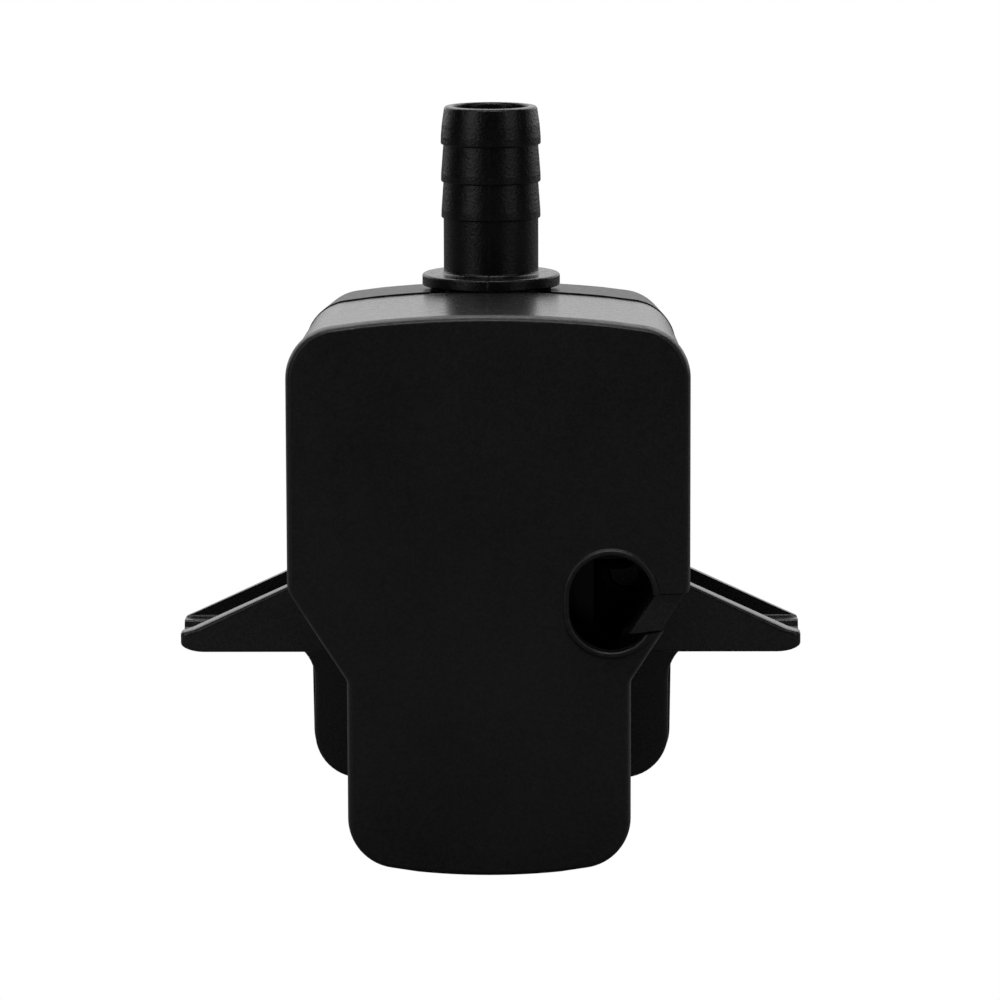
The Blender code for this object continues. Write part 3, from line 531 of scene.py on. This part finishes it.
def wing(name, s):
    """One mounting wing: a wedge with rounded tip and a channel open at its top and tip."""
    d0, d1, rp, rf, rb = 22.0, 37.94, 1.3, 0.52, 0.38
    stations = [0.0, 0.02, 0.06, 0.12, 0.2, 0.3, 0.4, 0.52, 0.75, 1.0, 1.3]
    deps = [d0 + s_ for s_ in stations] + [27.0, 30.0, 35.0] + [d1 - s_ for s_ in reversed(stations)]
    sec = []
    for d in deps:
        e = min(d - d0, d1 - d)
        f = rf if d - d0 < d1 - d else rb
        t = rp - sqrt(max(0.0, rp * rp - (rp - min(e, rp)) ** 2))
        i = f - sqrt(max(0.0, f * f - (f - min(e, f)) ** 2))
        back = (d - d0) / (d1 - d0)
        up = 0.14 + 0.01 * (d - d0) if d < 28.0 else 0.74 - 0.05 * (d - 35.2)
        bot = 31.03 + min(i, 0.38)
        v = [(18.0, bot, 0, 0), (36.0, bot, 0, 0)]
        v += [(45.35 + 3.6 * sin(pi / 2 * k / 12), bot + 1.35 - 1.35 * cos(pi / 2 * k / 12), 0, 0) for k in range(13)]
        v += [(48.95, 34.0 + up - i - 0.35 * back, 0.55, 6), (47.1, 34.48 + up - i, 1.6, 5),
              (30.0, 34.48 + 17.1 * 0.457 + up - i * 1.1, 0, 0), (18.0, 34.48 + 29.1 * 0.457 + up - i * 1.1, 0, 0)]
        loop = []
        for x, z in rounded(v):
            k = max(0.0, min(1.0, (x - 42.0) / 6.95))
            loop.append((s * (x - (t + i * 0.3) * k), z))
        sec.append((d, loop))
    w = loft(name, sec)
    # flat shelf at the back of the channel, a deeper groove along its front
    ch = rounded([(24.9, 32.6, 1.3, 8), (32.2, 32.6, 1.3, 8), (32.9, 34.3, 0.5, 4), (35.2, 34.4, 0.5, 4), (35.2, 60.0, 0, 0),
                  (24.9, 60.0, 0, 0)])
    x0, x1 = sorted((s * 12.0, s * 60.0))
    cut(w, prism(name + "_channel", ch, x0, x1, "dz"))
    return soften(w, 0.5, 5, 62)


def make_housing():
    front = [(2.4 + dd, housing_loop(2.4 + dd, i)) for i, dd in fillet_steps(0.22, 4)]
    mids = [(d, housing_loop(d, ridge=0.05)) for d in (2.9, 12.0, 24.0, 35.0)]
    back = [(38.0 - dd, housing_loop(38.0 - dd, i, 0.02)) for i, dd in reversed(fillet_steps(0.1, 3))]
    house = loft("motor_housing_shell", front + mids + back)

    def plate_loop(i):
        right = [(28.3 - i, 8.3 + i, 7.3 - i, 14), (28.3 - i, 31.04, 6.4 + i, 14),
                 (36.5, 31.04, 0, 0), (36.5, 32.9, 0, 0)]
        return rounded(right + [(-x, z, r, k) for x, z, r, k in reversed(right)])

    plate = loft("plate", [(33.5 + dd, plate_loop(i)) for i, dd in fillet_steps(0.8, 7)] +
                 [(37.75, plate_loop(0.0)), (37.9, plate_loop(0.05)), (37.97, plate_loop(0.2))])
    join(house, plate, wing("wing_r", 1), wing("wing_l", -1))
    pad = rounded([(-12.0, 8.0, 1.6, 8), (12.0, 8.0, 1.6, 8), (12.0, 33.0, 1.6, 8), (-12.0, 33.0, 1.6, 8)])
    join(house, prism("pad", pad, -0.4, 2.0, "xd"))
    # pocket inside the wall below the cord slit
    pocket = prism("pocket", [(12.0, 33.0), (30.0, 33.0), (30.0, 38.3), (23.9, 37.9), (20.0, 37.5), (12.0, 37.5)], 1.0, 9.0)
    boolean(pocket, 'INTERSECT', [loft("pocket_rim", [(d, keystone(1.7)) for d in (0.0, 10.0)])])
    cut(house, pocket)
    # the wall reaches forward into the cap's slit
    tongue = prism("tongue", [(20.0, 37.62), (23.9, 38.0), (34.0, 39.25), (34.0, 44.15), (20.0, 43.66)], 0.95, 3.0)
    boolean(tongue, 'INTERSECT', [loft("rim", [(d, keystone(0.55)) for d in (0.0, 4.0)])])
    cut(tongue, loft("rim_in", [(d, keystone(3.7)) for d in (-1.0, 5.0)]))
    join(house, soften(tongue, 0.14, 3, 50))
    inner = loft("hollow", [(d, housing_loop(d, 3.4)) for d in (0.0, 36.6)])
    cut(house, inner)
    for k in (1, -1):
        join(house, turned("boss", [(0, 37.2), (2.9, 37.2), (2.9, 31.9), (2.5, 31.5), (0, 31.5)], "d", (k * 21.5, 42.5), 48))
    cut(house, turned("well_hole", [(0, 45.0), (16.5, 45.0), (16.5, 30.0), (0, 30.0)], "d", (0, 31.5), 96))
    for k, z in ((1, 42.5), (-1, 42.5), (1, 20.5), (-1, 20.5)):
        cut(house, turned("pilot", [(0, 40.0), (1.35, 40.0), (1.35, 34.5), (0, 34.5)], "d", (k * 21.5, z), 32))
    shade(house, 34)
    return dress(house, M_HOUSING, "pump", ["motor_housing"])


make_housing()


# ============================================================ strainer cover
def cover_loop(t, i, ridge=0.0):
    hu, hl = 29.65 - 1.0 * t - i, 28.5 - 1.1 * t - i
    top, bot = 86.62 - 1.37 * t - i, 8.25 + 1.2 * t + i
    rt, rb = max(7.6 - i, 0.8), max(7.3 - i, 0.8)
    v = [(0.0, bot, 0, 0), (hl - 9.5, bot, 0, 0), (hl, bot, rb, 16), (hu, top - hu * hu / 364.0, rt, 18)]
    v += [(x, z, 0, 0) for x, z in dome(18.0, 0.0, 9, top, 182.0)]
    return mirror_loop(rounded(v, closed=False))


def stadium(x0, x1, z0, z1, n=8):
    r = (z1 - z0) / 2
    zc = (z0 + z1) / 2
    p = [(x1 - r + r * sin(pi * i / n), zc - r * cos(pi * i / n)) for i in range(n + 1)]
    p += [(x0 + r - r * sin(pi * i / n), zc + r * cos(pi * i / n)) for i in range(n + 1)]
    return p


def make_cover():
    sec = [(38.14 + dd, cover_loop((dd) / 22.7, i)) for i, dd in fillet_steps(0.1, 3)]
    sec += [(d, cover_loop((d - 38.3) / 22.7, 0.0)) for d in (42.0, 48.0, 55.0)]
    sec += [(64.0 - dd, cover_loop(1.0, i)) for i, dd in reversed(fillet_steps(3.0, 10))]
    cover = loft("strainer_cover_shell", sec)
    inner = loft("inner", [(37.0, cover_loop(-0.04, 1.8)), (60.6, cover_loop(0.96, 1.8)), (61.6, cover_loop(0.97, 2.2)),
                           (62.2, cover_loop(0.98, 3.2))])
    cut(cover, inner)
    nh = 9.65
    notch = [(-nh, 30.0), (nh, 30.0)] + [(nh * cos(pi * i / 40), 47.5 + nh * sin(pi * i / 40)) for i in range(41)]
    cut(cover, prism("notch", notch, 70.0, 95.0, "xd"))
    bm = bmesh.new()
    slots = []
    for r in range(7):
        z = 14.6 + 4.5 * r
        for s in (-1, 1):
            x0, x1 = sorted((s * 3.6, s * 21.6))
            slots.append(prism("slot", stadium(x0, x1, z - 1.2, z + 1.2), 59.0, 70.0))
    for r in range(4):
        z = 14.6 + 4.5 * r
        for s in (-1, 1):
            x0, x1 = sorted((s * 22.0, s * 36.0))
            slots.append(prism("slot", stadium(44.0, 57.0, z - 1.2, z + 1.2), x0, x1, "dz"))
    slots.append(prism("slot", rounded([(-1.6, 33.0, 1.4, 6), (1.6, 33.0, 1.4, 6), (1.6, 60.5, 1.4, 6), (-1.6, 60.5, 1.4, 6)]), 59.0, 70.0))
    bm.free()
    # one cutter holding all slots, which don't touch each other
    merged = bmesh.new()
    for s in slots:
        merged.from_mesh(s.data)
        bpy.data.objects.remove(s, do_unlink=True)
    cutter = mesh_object("slots", merged)
    cut(cover, cutter)
    soften(cover, 0.22, 2, 65)
    shade(cover, 34)
    return dress(cover, M_COVER, "strainer", ["strainer_cover"])


make_cover()


# ============================================================ volute housing with the hose barb
ZR, ND = 31.5, 47.5


def make_volute():
    vol = turned("volute_housing_shell", [(0, 38.3), (18.3, 38.3), (18.3, 55.2)] +
                 [(18.3 - i, 56.0 - dd) for i, dd in reversed(fillet_steps(0.8, 6))] + [(0, 56.0)], "d", (0, ZR), 128)
    disc = turned("disc", [(0, 38.3), (21.2, 38.3), (21.2, 40.9), (20.9, 41.2), (0, 41.25)], "d", (0, ZR), 128)
    ears = prism("ears", rounded([(x, ZR + z, 4.0, 10) for x, z in
                                  ((-25.2, -14.6), (25.2, -14.6), (25.2, 14.6), (-25.2, 14.6))]), 38.32, 41.3, edge=0.35)
    collar = turned("collar", [(0, 55.0), (9.8, 55.0), (9.8, 59.2), (9.4, 59.6), (0, 59.6)], "d", (0, ZR), 96)
    prof = [(0.0, 40.0, 0, 0), (7.6, 40.0, 0, 0), (7.6, 86.45, 0.2, 4), (11.05, 86.45, 0.28, 5), (11.05, 88.35, 0.42, 6),
            (7.6, 88.35, 0.55, 7), (7.6, 97.3, 0.06, 3), (7.96, 97.3, 0.24, 5), (7.93, 98.6, 0.6, 3),
            (7.60, 103.1, 0.06, 3), (8.0, 103.1, 0.24, 5), (7.97, 104.4, 0.6, 3),
            (7.60, 109.1, 0.06, 3), (8.03, 109.1, 0.24, 5), (8.0, 110.4, 0.8, 3), (7.84, 112.3, 1.5, 3),
            (7.42, 115.2, 0.5, 7), (5.0, 115.2, 0, 0), (0.0, 115.2, 0, 0)]
    prof = rounded(prof, closed=False)
    front, rear = radians(-90.0 - 1.6), radians(90.0)
    neck = turned("neck", prof, "z", (0, ND), 144, ridge_at=(front % (2 * pi), rear), ridge=0.075)
    join(vol, disc, ears, collar, neck)
    cut(vol, turned("chamber", [(0, 36.0), (16.5, 36.0), (16.5, 54.0), (0, 54.0)], "d", (0, ZR), 128))
    cut(vol, turned("eye", [(0, 52.0), (8.0, 52.0), (8.0, 59.1), (8.6, 59.7), (8.6, 64.0), (0, 64.0)], "d", (0, ZR), 96))
    bore = [(0, 40.5), (6.0, 40.5), (6.0, 114.75), (6.05, 114.95), (6.18, 115.1), (6.35, 115.25), (6.6, 116.5), (0, 116.5)]
    cut(vol, turned("bore", bore, "z", (0, ND), 128))
    holder = turned("holder", [(3.3, 56.6), (3.3, 59.5), (0.9, 59.5), (0.9, 60.0), (4.1, 60.0), (4.4, 59.7), (4.4, 56.9), (4.1, 56.6)],
                    "d", (0, ZR), 64, closed=True)
    join(vol, holder)
    for i in range(3):
        a = 2 * pi * i / 3 + pi / 2
        b = box("spoke", 3.6, 8.9, 57.0, 59.1, ZR - 0.8, ZR + 0.8, edge=0.3)
        c = W(0, 0, ZR)
        b.data.transform(Matrix.Translation(c) @ Matrix.Rotation(a, 4, 'Y') @ Matrix.Translation(-c))
        join(vol, b)
    for sx in (1, -1):
        for sz in (1, -1):
            cut(vol, turned("sh", [(0, 37.0), (1.6, 37.0), (1.6, 43.0), (0, 43.0)], "d", (sx * 21.5, ZR + sz * 11.0), 40))
    shade(vol, 34)
    return dress(vol, M_VOLUTE, "pump", ["volute_housing"])


make_volute()


# ============================================================ flow slider and screws
def make_slider():
    pl = prism("flow_slider_plate", rounded([(-12.0, 46.4, 1.5, 8), (12.0, 46.4, 1.5, 8), (12.0, 60.4, 1.5, 8), (-12.0, 60.4, 1.5, 8)]),
               64.25, 65.6, edge=0.3)
    for k, z in enumerate((51.4, 53.4, 55.4)):
        join(pl, prism("rib", stadium(-5.0, 5.0, z - 0.5, z + 0.5), 65.2, 66.6, edge=0.2))
    join(pl, box("stem", -1.25, 1.25, 61.2, 64.9, 52.4, 60.1, edge=0.15))
    keep = prism("keeper", rounded([(-3.0, 52.4, 0.6, 4), (3.0, 52.4, 0.6, 4), (3.0, 60.1, 0.6, 4), (-3.0, 60.1, 0.6, 4)]), 60.9, 61.9,
                 edge=0.15)
    join(pl, keep)
    shade(pl, 36)
    return dress(pl, M_SLIDER, "slider", ["flow_slider"])


make_slider()

HEAD = 38.3 + 3.0 + 0.1
for k, (sx, sz) in enumerate(((1, 1), (-1, 1), (1, -1), (-1, -1))):
    at = (sx * 21.5, ZR + sz * 11.0)
    dome_pts = [(2.6 * cos(radians(a)), HEAD + 0.55 + 1.35 * sin(radians(a))) for a in (8, 20, 34, 48, 62, 76)]
    sc = turned("volute_screw_head_%d" % (k + 1), [(0, HEAD + 1.9)] + [(r, h) for r, h in reversed(dome_pts)] +
                [(2.6, HEAD + 0.45), (2.6, HEAD + 0.08), (2.5, HEAD), (1.2, HEAD), (1.2, 35.2), (0.6, 34.7), (0, 34.7)], "d", at, 64)
    for j in range(2):
        w, h = ((1.6, 0.28), (0.28, 1.6))[j]
        cut(sc, box("cross", at[0] - w, at[0] + w, HEAD + 0.9, HEAD + 3.0, at[1] - h, at[1] + h))
    shade(sc, 36)
    dress(sc, M_SCREW, "pump", ["volute_screw_%d" % (k + 1)])


# ============================================================ carried-over CAD nodes
def carry(name, mat, width=0.2, angle=38.0):
    """A CAD node whose shape stays: softened edges, smooth shading and its own material."""
    ob = NODES[name]
    me = ob.data
    me.materials.clear()
    me.materials.append(mat)
    if "custom_normal" in me.attributes:
        me.attributes.remove(me.attributes["custom_normal"])
    me.shade_smooth()
    wd = ob.modifiers.new("weld", 'WELD')
    wd.merge_threshold = 0.000005
    if width > 0:
        bv = ob.modifiers.new("edge", 'BEVEL')
        bv.width = width * MM
        bv.segments = 2
        bv.limit_method = 'ANGLE'
        bv.angle_limit = radians(angle)
    wn = ob.modifiers.new("normals", 'WEIGHTED_NORMAL')
    wn.weight = 60
    wn.mode = 'FACE_AREA_WITH_ANGLE'


for name, mat, width in (
        ("motor_can", M_CAN, 0.2), ("potting_resin", M_RESIN, 0.1), ("stator_core", M_STEEL, 0.08), ("stator_yoke", M_STEEL, 0.08),
        ("bobbin_left", M_BOBBIN, 0.12), ("bobbin_right", M_BOBBIN, 0.12), ("coil_left", M_COPPER, 0.5), ("coil_right", M_COPPER, 0.5),
        ("thermal_fuse", M_FUSE, 0.0), ("cord_grommet", M_RUBBER, 0.15), ("rotor_magnet", M_FERRITE, 0.0),
        ("rotor_sleeve", M_SLEEVE, 0.12), ("impeller", M_IMPELLER, 0.12), ("shaft", M_CERAMIC, 0.0), ("rear_bush", M_RUBBER, 0.1),
        ("thrust_washer_rear", M_CERAMIC, 0.06), ("thrust_washer_front", M_CERAMIC, 0.06), ("front_bush", M_RUBBER, 0.1),
        ("volute_seal", M_RUBBER, 0.0)):
    carry(name, mat, width)


# ============================================================ stage: floor, light
def stage_floor():
    bm = bmesh.new()
    bmesh.ops.create_grid(bm, x_segments=1, y_segments=1, size=6.0)
    ob = mesh_object("floor", bm)
    ob.location.z = CAD_LO.z - 0.00002
    m, nt, b = new_mat("pale_floor")
    lp = node(nt, "ShaderNodeLightPath")
    em = node(nt, "ShaderNodeEmission")
    em.inputs["Color"].default_value = (1.0, 1.0, 1.0, 1)
    em.inputs["Strength"].default_value = 1.0
    b.inputs["Base Color"].default_value = (0.16, 0.16, 0.16, 1)
    b.inputs["Roughness"].default_value = 0.9
    mx = node(nt, "ShaderNodeMixShader")
    nt.links.new(lp.outputs["Is Camera Ray"], mx.inputs["Fac"])
    nt.links.new(b.outputs[0], mx.inputs[1])
    nt.links.new(em.outputs[0], mx.inputs[2])
    nt.links.new(mx.outputs[0], nt.nodes["Material Output"].inputs["Surface"])
    ob.data.materials.append(m)


def stage_world():
    w = bpy.data.worlds.new("studio")
    SC.world = w
    w.use_nodes = True
    nt = w.node_tree
    bg = nt.nodes["Background"]
    lp = node(nt, "ShaderNodeLightPath")
    tc = node(nt, "ShaderNodeTexCoord")
    sep = node(nt, "ShaderNodeSeparateXYZ")
    nt.links.new(tc.outputs["Generated"], sep.inputs[0])
    # bright sweep behind the object, low down; dim elsewhere
    side = node(nt, "ShaderNodeMath", operation='MULTIPLY_ADD')
    nt.links.new(sep.outputs["X"], side.inputs[0])
    side.inputs[1].default_value = 0.06
    nt.links.new(sep.outputs["Y"], side.inputs[2])
    back = ramp2(nt, side.outputs[0], 0.22, 0.72, 0.0, 1.0)
    low = ramp2(nt, sep.outputs["Z"], 0.80, 0.34, 0.0, 1.0)
    mul = node(nt, "ShaderNodeMath", operation='MULTIPLY')
    nt.links.new(back, mul.inputs[0])
    nt.links.new(low, mul.inputs[1])
    amb = node(nt, "ShaderNodeMath", operation='MULTIPLY_ADD')
    nt.links.new(mul.outputs[0], amb.inputs[0])
    amb.inputs[1].default_value = 1.07
    amb.inputs[2].default_value = 0.026
    bg.inputs["Color"].default_value = (1, 1, 1, 1)
    nt.links.new(amb.outputs[0], bg.inputs["Strength"])
    cam_bg = node(nt, "ShaderNodeBackground")
    cam_bg.inputs["Color"].default_value = (1, 1, 1, 1)
    cam_bg.inputs["Strength"].default_value = 1.0
    mx = node(nt, "ShaderNodeMixShader")
    nt.links.new(lp.outputs["Is Camera Ray"], mx.inputs["Fac"])
    nt.links.new(bg.outputs[0], mx.inputs[1])
    nt.links.new(cam_bg.outputs[0], mx.inputs[2])
    nt.links.new(mx.outputs[0], nt.nodes["World Output"].inputs["Surface"])


def soft_light(name, az, el, dist, sx, sy, power, target=(0, 0, 0.06)):
    """Area light at azimuth az (0 is the camera's side, -Y; positive towards +X) and elevation el."""
    ld = bpy.data.lights.new(name, 'AREA')
    ld.shape = 'RECTANGLE'
    ld.size, ld.size_y = sx, sy
    ld.energy = power
    ob = bpy.data.objects.new(name, ld)
    SC.collection.objects.link(ob)
    a, e = radians(az), radians(el)
    t = Vector(target)
    p = t + Vector((sin(a) * cos(e), -cos(a) * cos(e), sin(e))) * dist
    ob.location = p
    ob.rotation_euler = (t - p).to_track_quat('-Z', 'Y').to_euler()
    return ob


stage_floor()
stage_world()
soft_light("softbox_left", -48, 22, 1.1, 0.55, 0.8, 1.35)
soft_light("softbox_right", 50, 22, 1.2, 0.5, 0.8, 0.95)
soft_light("softbox_top", 0, 66, 1.0, 0.8, 0.45, 3.6)
soft_light("softbox_back_left", -152, 48, 1.2, 0.7, 0.8, 3.6)
soft_light("softbox_back_right", 152, 48, 1.2, 0.7, 0.8, 3.6)

SC.view_settings.view_transform = 'Standard'
